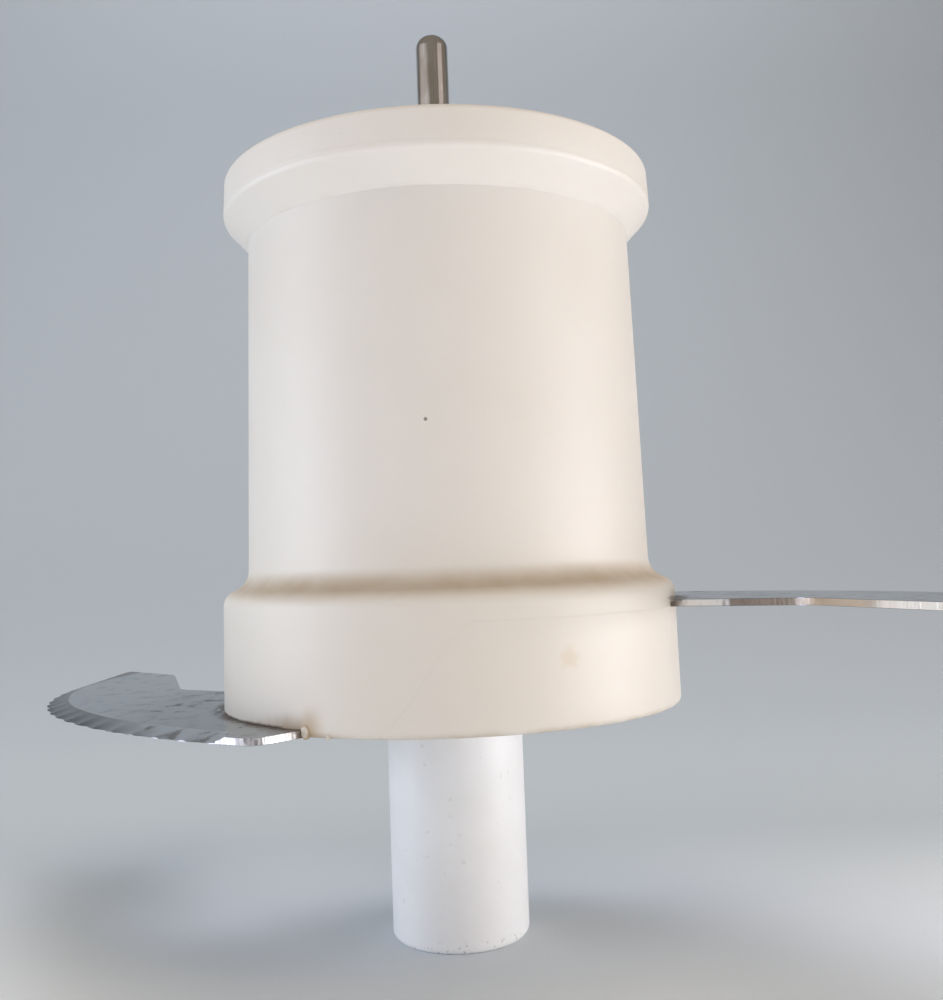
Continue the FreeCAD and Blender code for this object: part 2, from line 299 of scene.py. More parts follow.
acetal, place = finish("white_acetal", ior=1.48, subsurface_weight=0.12,
                       subsurface_radius=(1.0, 0.9, 0.8), subsurface_scale=2.0 * mm,
                       coat_roughness=0.18)
axes = place.node("SeparateXYZ", {}, {0: place})
height = Signal(axes.socket.node.outputs["Z"])
cloud = noise(place, 0.12, 4.0)
fine = noise(place, 2.5, 5.0)
turning = noise(place, 1.0, 3.0, (0.2, 0.2, 5.0))
speck = noise(place, 1.6, 4.0).between(0.60, 0.70) * (1.0 - height.between(0.0, 2.6))
speck = speck + noise(place, 0.8, 2.0).between(0.69, 0.74) * 0.12
white = cloud.node("ValToRGB", {"stops": [(0.3, (0.90, 0.90, 0.89, 1)),
                                          (0.7, (0.94, 0.94, 0.94, 1))]}, {0: cloud})
white = white.mix((0.30, 0.19, 0.10, 1), speck.math("MINIMUM", 0.8))
wire(acetal, Base_Color=white, Roughness=fine * 0.12 + cloud * 0.1 + 0.22,
     Normal=bump(turning, 0.012 * mm, 0.4, bump(fine, 0.01 * mm, 0.35)))
shaft.data.materials.append(acetal)
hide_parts("drive_shaft")
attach(shaft, "shaft")

# ---------------------------------------------------------------------------------------
# Blades. Both are the same stamping from 1 mm stainless sheet: a swept wing with a ground,
# fluted edge, and a curved tang with holes that the hub's plastic fills. The upper one is
# the lower one turned half round.
# ---------------------------------------------------------------------------------------
hub_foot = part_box("hub")[0].z
lower_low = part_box("lower_blade")[0]
upper_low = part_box("upper_blade")[0]
sheet = 1.0 * mm
edge_centre = Vector((22.65, 51.95, 0)) * mm
edge_radius = 97.6 * mm
turn_radius = 71.0 * mm
heel_round = 3.0 * mm
ground_angle = 237.7
turn_angle = 213.0
heel_corner_angle = 241.4
tip_corner_y = 65.2 * mm
back_slope = -43.0
back_length = 21.0 * mm
tip_round = 1.0 * mm
back_round = 8.0 * mm
root_corner = Vector((-47.3, 23.7, 0)) * mm
root_round = 6.0 * mm
root_exit_angle = 156.5
heel_exit_angle = 236.3
tang_inner = 28.6 * mm
tang_outer = 32.6 * mm
tang_start = 138.0
tang_end = 254.0
anchor_count = 4
anchor_radius = 1.1 * mm
bevel_width = 3.3 * mm
edge_thickness = 0.15 * mm
flute_radius = 12.5 * mm
flute_pitch = 5.4 * mm
flute_depth = 0.27 * mm


def polar(radius, degrees):
    """Point in plan at a radius and an angle."""
    return Vector((math.cos(math.radians(degrees)), math.sin(math.radians(degrees)), 0)) * radius


def start_point(name, point):
    """A lone vertex, open for editing, from which an outline is drawn."""
    bpy.ops.object.select_all(action="DESELECT")
    bpy.ops.mesh.primitive_plane_add(size=mm, location=point)
    bpy.ops.object.transform_apply(location=True, rotation=False, scale=False)
    piece = bpy.context.object
    piece.name = name
    bpy.ops.object.mode_set(mode="EDIT")
    bpy.ops.mesh.select_all(action="SELECT")
    bpy.ops.mesh.merge(type="CENTER")
    bpy.ops.mesh.select_mode(type="VERT")
    return piece


def run_to(start, *points):
    """Draws straight lines on from the selected vertex, through the points."""
    for point in points:
        bpy.ops.mesh.extrude_vertices_move(TRANSFORM_OT_translate={"value": point - start})
        start = point


def swing(centre, degrees, steps):
    """Sweeps what is selected about an upright axis, anticlockwise if degrees is positive."""
    bpy.ops.mesh.spin(steps=steps, angle=math.radians(degrees), center=centre,
                      axis=(0, 0, -1))


def fill_outline():
    """Closes the outline that has been drawn and fills it with one face."""
    bpy.ops.mesh.select_all(action="SELECT")
    bpy.ops.mesh.remove_doubles(threshold=0.02 * mm)
    bpy.ops.mesh.edge_face_add()


def run_round(before, corner, after, radius, steps):
    """Draws on from before to a rounded corner and round it, and gives where the round ends."""
    back = (before - corner).normalized()
    onward = (after - corner).normalized()
    opening = back.angle(onward)
    trim = radius / math.tan(opening / 2)
    run_to(before, corner + back * trim)
    centre = corner + (back + onward).normalized() * radius / math.sin(opening / 2)
    turned_right = back.cross(onward).z > 0
    swing(centre, (-1 if turned_right else 1) * (180 - math.degrees(opening)), steps)
    return corner + onward * trim


turn_point = edge_centre + polar(edge_radius, turn_angle)
turn_centre = turn_point - polar(turn_radius, turn_angle)
straight_point = turn_centre + polar(turn_radius, 180)
tip_corner = Vector((straight_point.x, tip_corner_y, 0))
back_corner = tip_corner + polar(back_length, back_slope)
root_exit = polar(tang_outer, root_exit_angle)
heel_exit = polar(tang_outer, heel_exit_angle)


def fillet_on_arc(start, towards, centre, radius, fillet):
    """Centre of the round that joins a line from start to the inside of an arc."""
    along = (towards - start).normalized()
    inward = Vector((along.y, -along.x, 0))
    near = start + inward * fillet - centre
    middle = near.dot(along)
    reach = math.sqrt(middle ** 2 - near.length_squared + (radius - fillet) ** 2)
    return centre + near + along * (reach - middle)


def bearing(centre, point):
    """Direction of a point from a centre, in degrees from 0 to 360."""
    return math.degrees(math.atan2(point.y - centre.y, point.x - centre.x)) % 360


heel_corner = edge_centre + polar(edge_radius, heel_corner_angle)
heel_centre = fillet_on_arc(heel_exit, heel_corner, edge_centre, edge_radius, heel_round)
heel_line = (heel_corner - heel_exit).normalized()
heel_start = heel_centre + Vector((-heel_line.y, heel_line.x, 0)) * heel_round
heel_end = edge_centre + (heel_centre - edge_centre).normalized() * edge_radius
tang_steps = 40

blade = start_point("lower_blade_sheet", heel_exit)
run_to(heel_exit, heel_start)
swing(heel_centre, bearing(heel_centre, heel_end) - bearing(heel_centre, heel_start), 10)
swing(edge_centre, turn_angle - bearing(edge_centre, heel_end), 80)
swing(turn_centre, 180 - turn_angle, 12)
tip_end = run_round(straight_point, tip_corner, back_corner, tip_round, 8)
back_end = run_round(tip_end, back_corner, root_corner, back_round, 10)
root_end = run_round(back_end, root_corner, root_exit, root_round, 10)
run_to(root_end, root_exit)
swing((0, 0, 0), tang_start - root_exit_angle, 8)
run_to(polar(tang_outer, tang_start), polar(tang_inner, tang_start))
swing((0, 0, 0), tang_end - tang_start, tang_steps)
run_to(polar(tang_inner, tang_end), polar(tang_outer, tang_end))
swing((0, 0, 0), heel_exit_angle - tang_end, 8)
fill_outline()
bpy.ops.mesh.select_all(action="SELECT")
bpy.ops.mesh.extrude_region_move(TRANSFORM_OT_translate={"value": (0, 0, sheet)})
close_up(blade, 30)

slope = (sheet - edge_thickness) / bevel_width
wedge_out = 1.5 * mm
wedge = [(-bevel_width, sheet), (-bevel_width, sheet + mm), (wedge_out, sheet + mm),
         (wedge_out, edge_thickness - slope * wedge_out)]


def wedge_at(name, point, outward):
    """The grinding wedge's section, standing on the edge at a point."""
    corners = [point + polar(1, outward) * out + Vector((0, 0, up)) for out, up in wedge]
    piece = start_point(name, corners[0])
    run_to(*corners, corners[0])
    fill_outline()
    bpy.ops.mesh.select_all(action="SELECT")
    return piece


ground_point = edge_centre + polar(edge_radius, ground_angle)
wheel = wedge_at("grinding_on_arc", ground_point, ground_angle)
swing(edge_centre, turn_angle - ground_angle, 120)
close_up(wheel, 30)
combine(blade, wheel, "DIFFERENCE")
wheel = wedge_at("grinding_on_turn", turn_point, turn_angle)
swing(turn_centre, 180 - turn_angle, 24)
close_up(wheel, 30)
combine(blade, wheel, "DIFFERENCE")
wheel = wedge_at("grinding_on_straight", straight_point, 180)
bpy.ops.mesh.extrude_region_move(TRANSFORM_OT_translate={"value": tip_corner - straight_point})
close_up(wheel, 30)
combine(blade, wheel, "DIFFERENCE")


def edge_place(distance):
    """Point on the ground edge at a distance from its heel, and its outward direction."""
    arc_length = edge_radius * math.radians(ground_angle - turn_angle)
    turn_length = turn_radius * math.radians(turn_angle - 180)
    if distance < arc_length:
        angle = ground_angle - math.degrees(distance / edge_radius)
        return edge_centre + polar(edge_radius, angle), angle
    if distance < arc_length + turn_length:
        angle = turn_angle - math.degrees((distance - arc_length) / turn_radius)
        return turn_centre + polar(turn_radius, angle), angle
    return straight_point + Vector((0, distance - arc_length - turn_length, 0)), 180


edge_length = (edge_radius * math.radians(ground_angle - turn_angle)
               + turn_radius * math.radians(turn_angle - 180)
               + tip_corner.y - straight_point.y)
flute_slope = math.atan2(sheet - edge_thickness + flute_depth, bevel_width)
for number in range(int(edge_length / flute_pitch)):
    point, outward = edge_place((number + 0.6) * flute_pitch)
    axis = polar(math.cos(flute_slope), outward) + Vector((0, 0, -math.sin(flute_slope)))
    lift = Vector((0, 0, 1)) - axis * axis.z
    middle = (point + Vector((0, 0, edge_thickness - flute_depth))
              + lift.normalized() * flute_radius)
    bpy.ops.object.select_all(action="DESELECT")
    bpy.ops.mesh.primitive_cylinder_add(
        vertices=120, radius=flute_radius, depth=2 * bevel_width + 2 * mm, location=middle,
        rotation=axis.to_track_quat("Z", "Y").to_euler())
    flute = bpy.context.object
    bpy.ops.object.transform_apply(location=True, rotation=True, scale=False)
    combine(blade, flute, "DIFFERENCE")

for number in range(anchor_count):
    hole_angle = tang_start + (tang_end - tang_start) * (number + 0.5) / anchor_count
    punch = bar("tang_punch", anchor_radius, -mm, 2 * mm, 24)
    punch.data.transform(Matrix.Translation(polar((tang_inner + tang_outer) / 2, hole_angle)))
    combine(blade, punch, "DIFFERENCE")

close_up(blade, 25)
rim_width = 0.05 * mm
rim = blade.modifiers.new("rim", "BEVEL")
rim.width = rim_width
rim.segments = 2
rim.limit_method = "ANGLE"
rim.angle_limit = math.radians(40)
bpy.ops.object.modifier_apply(modifier=rim.name)
bpy.ops.object.shade_smooth_by_angle(angle=math.radians(25))

bpy.ops.object.select_all(action="DESELECT")
blade.select_set(True)
bpy.context.view_layer.objects.active = blade
bpy.ops.object.duplicate()
upper_blade = bpy.context.object
upper_blade.name = "upper_blade_sheet"
upper_blade.data.transform(Matrix.Rotation(math.pi, 4, "Z"))
upper_blade.data.transform(Matrix.Translation((0, 0, upper_low.z)))
blade.data.transform(Matrix.Translation((0, 0, lower_low.z)))


def blade_steel(name, side, foot):
    """Rolled stainless sheet: fine scratches, a duller ground bevel, rough sheared edges."""
    material, place = finish(name, metallic=1.0)
    turned = place.node("VectorMath", {"operation": "MULTIPLY"}, {0: place,
                                                                   1: (side, side, 1)})
    axes = turned.node("SeparateXYZ", {}, {0: turned}).socket.node
    across = Signal(axes.outputs["X"])
    along = Signal(axes.outputs["Y"])
    height = Signal(axes.outputs["Z"]) - foot / mm
    off_x = across - edge_centre.x / mm
    off_y = along - edge_centre.y / mm
    from_centre = (off_x * off_x + off_y * off_y).math("SQRT")
    bearing_on_arc = off_y.math("ARCTAN2", off_x)
    heel_way = math.radians(ground_angle + 90)
    past_heel = off_x * math.cos(heel_way) + off_y * math.sin(heel_way)
    turn_x = across - turn_centre.x / mm
    turn_y = along - turn_centre.y / mm
    from_turn = (turn_x * turn_x + turn_y * turn_y).math("SQRT")
    turn_way = math.radians(turn_angle + 90)
    past_turn = off_x * math.cos(turn_way) + off_y * math.sin(turn_way)
    blur = 0.05
    arc_line, turn_line, straight_line = ((out - bevel_width) / mm for out in (
        edge_radius, turn_radius, -straight_point.x))
    on_turn = from_turn.between(turn_line - blur, turn_line + blur)
    on_turn = on_turn * (1.0 - past_turn.between(-blur, blur))
    on_straight = (across * -1.0).between(straight_line - blur, straight_line + blur)
    on_bevel = from_centre.between(arc_line - blur, arc_line + blur)
    on_bevel = on_bevel.math("MAXIMUM", on_turn).math("MAXIMUM", on_straight)
    on_bevel = on_bevel * (1.0 - past_heel.between(-blur, blur))
    cut_face = height.between(0.03, 0.08) * (1.0 - height.between(0.92, 0.97))
    cut_face = cut_face * (1.0 - on_bevel)

    polished = turned.node("CombineXYZ", {}, {0: from_centre * 3.0, 1: bearing_on_arc * 12.0,
                                              2: height * 0.5})
    ground = turned.node("CombineXYZ", {}, {0: from_centre * 0.15,
                                            1: bearing_on_arc * 260.0, 2: 0.0})
    scratch = polished.node("TexNoise", {}, {"Vector": polished, "Scale": 1.0, "Detail": 5.0})
    rasp = ground.node("TexNoise", {}, {"Vector": ground, "Scale": 1.0, "Detail": 4.0})
    cloud = noise(turned, 0.09, 4.0)
    torn = noise(turned, 2.2, 4.0, (1.0, 1.0, 0.3))
    smear = noise(turned, 0.35, 3.0, (1.0, 0.6, 1.0)).between(0.55, 0.66)
    from_axis = (across * across + along * along).math("SQRT")
    near_hub = 1.0 - from_axis.between(42.0, 54.0)
    tint_place = from_axis + torn * 2.0
    tarnish = tint_place.between(42.0, 44.0) * (1.0 - tint_place.between(61.0, 65.0))
    tarnish = tarnish * along.between(5.0, 10.0)
    on_heel = 1.0 - along.between(-20.0, -10.0)
    heel_shade = across.bump_at(-24.6, 2.4) + torn.between(0.45, 0.6) * 0.6
    residue = noise(turned, 0.30, 4.0).between(0.58, 0.68) * near_hub
    root = (1.0 - from_axis.between(34.2, 36.5)) * noise(turned, 0.8, 3.0).between(0.3, 0.55)

    # Painted shade on the mirror face: its colour is darker and bluer than bare stainless, so it
    # reflects the pale surroundings as a dim blue-grey.
    colour = cloud.node("ValToRGB", {"stops": [(0.3, (0.226, 0.26, 0.29, 1)),
                                               (0.7, (0.27, 0.305, 0.335, 1))]}, {0: cloud})
    colour = colour.mix((0.12, 0.135, 0.15, 1), near_hub * 0.7)
    colour = colour.mix((0.20, 0.205, 0.215, 1), on_bevel * 0.8)
    colour = colour.mix((0.62, 0.63, 0.65, 1), on_bevel * near_hub)
    tint = tint_place.node("ValToRGB", {"stops": [(0.51, (0.25, 0.205, 0.165, 1)),
                                                  (0.54, (0.55, 0.485, 0.42, 1))]},
                           {0: tint_place * 0.01})
    colour = colour.mix((0.80, 0.79, 0.78, 1), cut_face * (1.0 - tarnish))
    colour = colour.mix(tint, cut_face * tarnish)
    colour = colour.mix((0.24, 0.22, 0.22, 1), cut_face * on_heel * heel_shade * 0.8)
    colour = colour.mix((0.17, 0.165, 0.16, 1), residue * 0.55)
    colour = colour.mix((0.16, 0.11, 0.07, 1), root * 0.8)
    rough = scratch * 0.07 + cloud * 0.05 + 0.07 + smear * 0.08 + on_bevel * 0.16
    rough = rough + residue * 0.25 + root * 0.35 + cut_face * (torn * 0.2 + 0.15)
    texture = scratch.mix(rasp, on_bevel)
    sheared = bump(torn, 0.12 * mm, 0.7, bump(texture, 0.012 * mm, 0.3))
    smooth = bump(texture, 0.012 * mm, 0.3, bump(cloud, 0.5 * mm, 0.02))
    normal = smooth.mix(sheared, cut_face)
    wire(material, Base_Color=colour, Roughness=rough, Normal=normal)
    return material


for sheet_piece, node, side, foot in ((blade, "lower_blade", 1.0, lower_low.z),
                                      (upper_blade, "upper_blade", -1.0, upper_low.z)):
    sheet_piece.data.materials.append(blade_steel(node + "_steel", side, foot))
    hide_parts(node)
    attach(sheet_piece, "knife")

# ---------------------------------------------------------------------------------------
# Hub. Cream plastic moulded round both tangs: a thick collar at the foot, a ledge, and a
# tapered barrel, hollow below to go over the bowl's centre tube. Six ribs carry the boss
# that sits on the shaft.
# ---------------------------------------------------------------------------------------
hub_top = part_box("hub")[1].z
collar_foot_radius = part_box("hub")[1].x
collar_top_radius = 33.8 * mm
corner_height = hub_foot + 16.0 * mm
corner_round = 2.3 * mm
ledge_fillet = 3.2 * mm
barrel_foot_radius = 30.1 * mm
neck_radius = 29.05 * mm
spigot_height = 4.0 * mm
neck_height = hub_top - spigot_height
spigot_radius = 27.4 * mm
pocket_radius = 24.5 * mm
web_top = hub_top - 8.4 * mm
roof = web_top - 3.5 * mm
cavity_foot_radius = 27.0 * mm
cavity_roof_radius = 26.0 * mm
boss_radius = 14.5 * mm
boss_foot = shoulder_height - 8.0 * mm
guide_radius = shaft_radius + 0.15 * mm
rib_count = 6
rib_length = 13.4 * mm
rib_thickness = 2.0 * mm
rib_depth = 11.0 * mm
rib_middle = 20.3 * mm
rib_edge_round = 0.3 * mm
foot_round = 0.8 * mm
flush = 0.03 * mm

reach = corner_round + ledge_fillet
shift = barrel_foot_radius + ledge_fillet - (collar_top_radius - corner_round)
rise = math.sqrt(reach ** 2 - shift ** 2)
lean = math.degrees(math.atan2(rise, shift))
fillet_height = corner_height + rise
wall = [(collar_foot_radius + (collar_top_radius - collar_foot_radius) * step / 8,
         hub_foot + foot_round + (corner_height - hub_foot - foot_round) * step / 8)
        for step in range(1, 8)]
barrel = [(barrel_foot_radius + (neck_radius - barrel_foot_radius) * step / 24,
           fillet_height + (neck_height - fillet_height) * step / 24)
          for step in range(1, 25)]
outside = (rounding(collar_foot_radius - foot_round, hub_foot + foot_round, foot_round,
                    -90, 0, 6)[1:]
           + wall
           + rounding(collar_top_radius - corner_round, corner_height, corner_round,
                      0, lean, 10)
           + rounding(barrel_foot_radius + ledge_fillet, fillet_height, ledge_fillet,
                      180 + lean, 180, 10)[1:]
           + barrel
           + [(spigot_radius, neck_height), (spigot_radius, hub_top),
              (pocket_radius, hub_top), (pocket_radius, web_top)])
hub = start_disc("hub_moulding", collar_foot_radius - foot_round, hub_foot + flush, 224)
draw_up((collar_foot_radius - foot_round, hub_foot + flush), outside)
close_up(hub, 35)

core = start_disc("hub_core", cavity_foot_radius + 0.6 * mm, hub_foot - mm, 160)
draw_up((cavity_foot_radius + 0.6 * mm, hub_foot - mm),
        [(cavity_foot_radius + 0.6 * mm, hub_foot + flush),
         (cavity_foot_radius, hub_foot + 0.6 * mm), (cavity_roof_radius + 0.1 * mm, roof - mm)]
        + rounding(cavity_roof_radius - mm, roof - mm, mm, 0, 90, 5)[1:]
        + [(boss_radius, roof), (boss_radius, boss_foot), (guide_radius + 0.5 * mm, boss_foot),
           (guide_radius, boss_foot + 0.5 * mm), (guide_radius, shoulder_height)])
close_up(core, 35)
combine(hub, core, "DIFFERENCE")
for number in range(rib_count):
    bpy.ops.object.select_all(action="DESELECT")
    bpy.ops.mesh.primitive_cube_add(size=1, location=(rib_middle, 0, roof - 4.5 * mm))
    rib = bpy.context.object
    rib.scale = (rib_length, rib_thickness, rib_depth)
    bpy.ops.object.transform_apply(location=True, rotation=False, scale=True)
    bpy.ops.object.mode_set(mode="EDIT")
    bpy.ops.mesh.select_all(action="SELECT")
    bpy.ops.mesh.bevel(offset=rib_edge_round, segments=2, affect="EDGES")
    bpy.ops.object.mode_set(mode="OBJECT")
    rib.data.transform(Matrix.Rotation(math.radians(360 / rib_count * (number + 0.5)), 4, "Z"))
    combine(hub, rib, "UNION")
combine(hub, hexagon("hub_drive_socket", hexagon_flats + 0.3 * mm, shoulder_height - mm,
                     hexagon_top + 0.5 * mm), "DIFFERENCE")
combine(hub, bar("nose_hole", nose_radius + 0.3 * mm, hexagon_top, web_top + mm, 64),
        "DIFFERENCE")
for angle, lift, size in ((236.6, 0.7, 0.75), (242.4, 0.25, 0.34)):
    bpy.ops.object.select_all(action="DESELECT")
    bpy.ops.mesh.primitive_ico_sphere_add(subdivisions=3, radius=size * mm)
    flash = bpy.context.object
    bpy.ops.object.mode_set(mode="EDIT")
    bpy.ops.transform.vertex_random(offset=0.12 * size * mm, seed=3)
    bpy.ops.transform.resize(value=(0.7, 1.0, 1.25))
    bpy.ops.object.mode_set(mode="OBJECT")
    flash.data.transform(Matrix.Translation(polar(collar_foot_radius - 0.1 * mm, angle)
                                            + Vector((0, 0, hub_foot + lift * mm)))
                         @ Matrix.Rotation(math.radians(angle), 4, "Z"))
    combine(hub, flash, "UNION")
close_up(hub, 30)


def cream_plastic(name):
    """Cream moulding with a soft sheen: cloudy colour, fine grain, handling marks."""
    material, place = finish(name, ior=1.49, subsurface_weight=0.10,
                             subsurface_radius=(1.0, 0.75, 0.5), subsurface_scale=2.0 * mm)
    cloud = noise(place, 0.05, 5.0)
    fine = noise(place, 3.0, 5.0)
    colour = cloud.node("ValToRGB", {"stops": [(0.3, (0.745, 0.695, 0.625, 1)),
                                               (0.7, (0.775, 0.73, 0.665, 1))]}, {0: cloud})
    dots = place.node("TexVoronoi", {}, {"Vector": place, "Scale": 0.16})
    where = dots.socket.node.outputs["Position"]
    rare = place.node("TexWhiteNoise", {}, {"Vector": Signal(where)}).between(0.80, 0.81)
    speck = (1.0 - dots.between(0.028, 0.05)) * rare
    colour = colour.mix((0.14, 0.10, 0.07, 1), speck * 0.8)
    worn = noise(place, 0.5, 6.0, (1.0, 1.0, 0.6)).between(0.5, 0.75)
    rough = fine * 0.10 + cloud * 0.12 + 0.36 - worn * 0.05
    return material, place, colour, rough, fine, cloud


hub_plastic, place, colour, rough, fine, cloud = cream_plastic("cream_hub_plastic")
axes = place.node("SeparateXYZ", {}, {0: place}).socket.node
across = Signal(axes.outputs["X"])
depth = Signal(axes.outputs["Y"])
height = Signal(axes.outputs["Z"]) - hub_foot / mm
turn = depth.math("ARCTAN2", across) * (180 / math.pi)
from_axis = (across * across + depth * depth).math("SQRT")
slot_middle = math.radians((root_exit_angle + heel_exit_angle) / 2)
toward = (across * math.cos(slot_middle) + depth * math.sin(slot_middle)) / from_axis
patchy = noise(place, 0.25, 5.0)
streak = noise(place, 0.4, 3.0, (1.0, 1.0, 0.5))
yellowed = (1.0 - height.between(8.0, 34.0)) * 0.3
colour = colour.mix((0.72, 0.655, 0.555, 1), yellowed)
# Brown band round the ledge's fillet: part dirt, part painted shade on the upward-facing crease.
ledge_dirt_and_shade = height.between(16.6, 18.7) * (1.0 - height.between(18.6, 21.1))
ledge_dirt_and_shade = ledge_dirt_and_shade * (patchy.between(0.2, 0.8) * 0.35 + 0.65)
colour = colour.mix((0.40, 0.29, 0.16, 1), ledge_dirt_and_shade * 0.66)

outside = from_axis.between(30.0, 32.5)
slot_ends = 1.0 - toward.bump_at(1.0, 0.30) * 0.7
lower_slot = toward.between(0.69, 0.76) * outside
rising = height + streak * 1.6
slot_haze = (1.0 - (rising / slot_ends).between(1.6, 6.0)) * lower_slot
on_flash = from_axis.between(34.1, 34.3)
colour = colour.mix((0.42, 0.27, 0.12, 1), slot_haze * (1.0 - on_flash) * 0.68)
slot_char = (1.0 - (height + streak * 0.4).between(1.2, 1.6)) * toward.between(0.825, 0.845)
colour = colour.mix((0.05, 0.03, 0.018, 1), slot_char * outside * 0.9)
upper_slot = (toward * -1.0).between(0.72, 0.77) * outside
upper_char = (height + streak * 0.5).bump_at(15.5, 0.3) * upper_slot
colour = colour.mix((0.10, 0.06, 0.03, 1), upper_char * 0.6)
upper_haze = (height + streak * 1.5).bump_at(14.6, 2.6) * upper_slot
colour = colour.mix((0.50, 0.36, 0.2, 1), upper_haze * 0.12)
foot_grime = (1.0 - height.between(0.1, 1.1)) * patchy.between(0.35, 0.65)
colour = colour.mix((0.42, 0.32, 0.2, 1), foot_grime * 0.35)

on_front = 1.0 - depth.between(-20.0, -10.0)
spot_x = across - 14.5
spot_z = height - 8.9
blotch = noise(place, 0.9, 4.0)
spot = (spot_x * spot_x + spot_z * spot_z).math("SQRT") + blotch * 2.6
colour = colour.mix((0.60, 0.45, 0.24, 1), (1.0 - spot.between(1.5, 3.2)) * on_front * 0.3)

split_ramp = turn.between(-108.0, -84.0) * 14.0
split_line = (height - split_ramp).bump_at(0.0, 0.16) * (1.0 - height.between(15.0, 15.5))
window_side = turn.bump_at(-28.1, 0.28) * height.between(8.8, 9.4)
window_side = window_side * (1.0 - height.between(15.3, 15.5))
window_top = height.bump_at(15.4, 0.13) * turn.between(-28.4, -28.0) * upper_slot
mould_lines = split_line.math("MAXIMUM", window_side).math("MAXIMUM", window_top) * outside
colour = colour.mix((0.60, 0.53, 0.44, 1), mould_lines * 0.13)
shape = fine * 0.02 + cloud * 0.35 + mould_lines * 0.05
wire(hub_plastic, Base_Color=colour, Roughness=rough + ledge_dirt_and_shade * 0.2 + slot_haze * 0.2,
     Normal=bump(shape, 1.0 * mm, 0.35))
hub.data.materials.append(hub_plastic)
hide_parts("hub")
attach(hub, "knife")

# ---------------------------------------------------------------------------------------
# Hub cap. A second cream moulding welded on the hub's spigot: its flange is what the
# fingers lift the knife by. The shaft's nose stands through the middle.
# ---------------------------------------------------------------------------------------
cap_low, cap_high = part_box("hub_cap")
flange_radius = cap_high.x
band_top_radius = flange_radius - 0.2 * mm
band_foot = cap_low.z + 4.0 * mm
cap_round = 0.8 * mm
nose_hole = nose_radius + 0.3 * mm
dish_radius = 28.5 * mm
dish_depth = 1.0 * mm
ring_edge = nose_hole + 2.8 * mm
cap_wall = 3.5 * mm

cap = start_disc("hub_cap_moulding", spigot_radius + 0.05 * mm, cap_low.z, 224)
draw_up((spigot_radius + 0.05 * mm, cap_low.z),
        [(neck_radius, cap_low.z), (flange_radius - 0.55 * mm, band_foot - 0.65 * mm)]
        + rounding(flange_radius - 1.2 * mm, band_foot + 0.3 * mm, 1.2 * mm, -45, 0, 6)[1:]
        + rounding(band_top_radius - cap_round, cap_high.z - cap_round, cap_round, 0, 90, 8)
        + [(dish_radius + 0.4 * mm, cap_high.z), (dish_radius, cap_high.z - 0.12 * mm),
           (dish_radius - 0.9 * mm, cap_high.z - dish_depth + 0.1 * mm),
           (dish_radius - 1.3 * mm, cap_high.z - dish_depth),
           (ring_edge + 1.4 * mm, cap_high.z - dish_depth),
           (ring_edge + 1.1 * mm, cap_high.z - dish_depth + 0.1 * mm),
           (ring_edge + 0.3 * mm, cap_high.z - 0.1 * mm), (ring_edge, cap_high.z),
           (nose_hole + 0.3 * mm, cap_high.z), (nose_hole, cap_high.z - 0.3 * mm),
           (nose_hole, cap_high.z - cap_wall)])
close_up(cap, 35)
under = start_disc("cap_core", spigot_radius + 0.05 * mm, cap_low.z - mm, 160)
draw_up((spigot_radius + 0.05 * mm, cap_low.z - mm),
        [(spigot_radius + 0.05 * mm, hub_top + 0.05 * mm), (pocket_radius, hub_top + 0.05 * mm),
         (pocket_radius, cap_high.z - cap_wall)])
close_up(under, 35)
combine(cap, under, "DIFFERENCE")
close_up(cap, 30)

cap_plastic, place, colour, rough, fine, cloud = cream_plastic("cream_cap_plastic")
axes = place.node("SeparateXYZ", {}, {0: place}).socket.node
across = Signal(axes.outputs["X"])
height = Signal(axes.outputs["Z"]) - cap_low.z / mm
patchy = noise(place, 0.3, 4.0)
# Thin darker line round the flange: a real parting line, with painted shade standing in for the
# shadow of its small step.
parting_line_and_shade = (height + across * 0.012 - 4.6).bump_at(0.0, 0.10)
neck_dirt = (1.0 - height.between(0.0, 0.7)) * patchy.between(0.4, 0.7)
colour = colour.mix((0.55, 0.45, 0.33, 1), neck_dirt * 0.15)
colour = colour.mix((0.62, 0.56, 0.48, 1), parting_line_and_shade * 0.18)
wire(cap_plastic, Base_Color=colour, Roughness=rough,
     Normal=bump(fine * 0.02 + cloud * 0.35 + parting_line_and_shade * 0.05, 1.0 * mm, 0.35))
cap.data.materials.append(cap_plastic)
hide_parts("hub_cap")
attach(cap, "knife")

# ---------------------------------------------------------------------------------------
# Studio. The part stands on a pale floor that curves up into the backdrop. A window-like
# lamp on the left is the main light; weaker ones fill in from the right, above and behind.
# The floor is painted palest round the part, painted light over the shade the part casts there,
# and the paper then darkens with depth, painted shade that evens out the light from behind.
# ---------------------------------------------------------------------------------------
floor_size = 2.4
back_edge = 0.6
wall_height = 1.6
curve_radius = 0.4
bpy.ops.object.select_all(action="DESELECT")
bpy.ops.mesh.primitive_plane_add(size=floor_size, location=(0, back_edge - floor_size / 2, 0))
floor = bpy.context.object
floor.name = "studio_floor"
bpy.ops.object.transform_apply(location=True, rotation=False, scale=False)
bpy.ops.object.mode_set(mode="EDIT")
bpy.ops.mesh.select_mode(type="EDGE")
bpy.ops.mesh.select_all(action="DESELECT")
bpy.ops.object.mode_set(mode="OBJECT")
for edge in floor.data.edges:
    ends = [floor.data.vertices[vertex].co.y for vertex in edge.vertices]
    edge.select = min(ends) > back_edge - mm
bpy.ops.object.mode_set(mode="EDIT")
bpy.ops.mesh.extrude_region_move(TRANSFORM_OT_translate={"value": (0, 0, wall_height)})
bpy.ops.mesh.select_all(action="DESELECT")
bpy.ops.object.mode_set(mode="OBJECT")
for edge in floor.data.edges:
    corner = [floor.data.vertices[vertex].co for vertex in edge.vertices]
    edge.select = all(end.y > back_edge - mm and abs(end.z) < mm for end in corner)
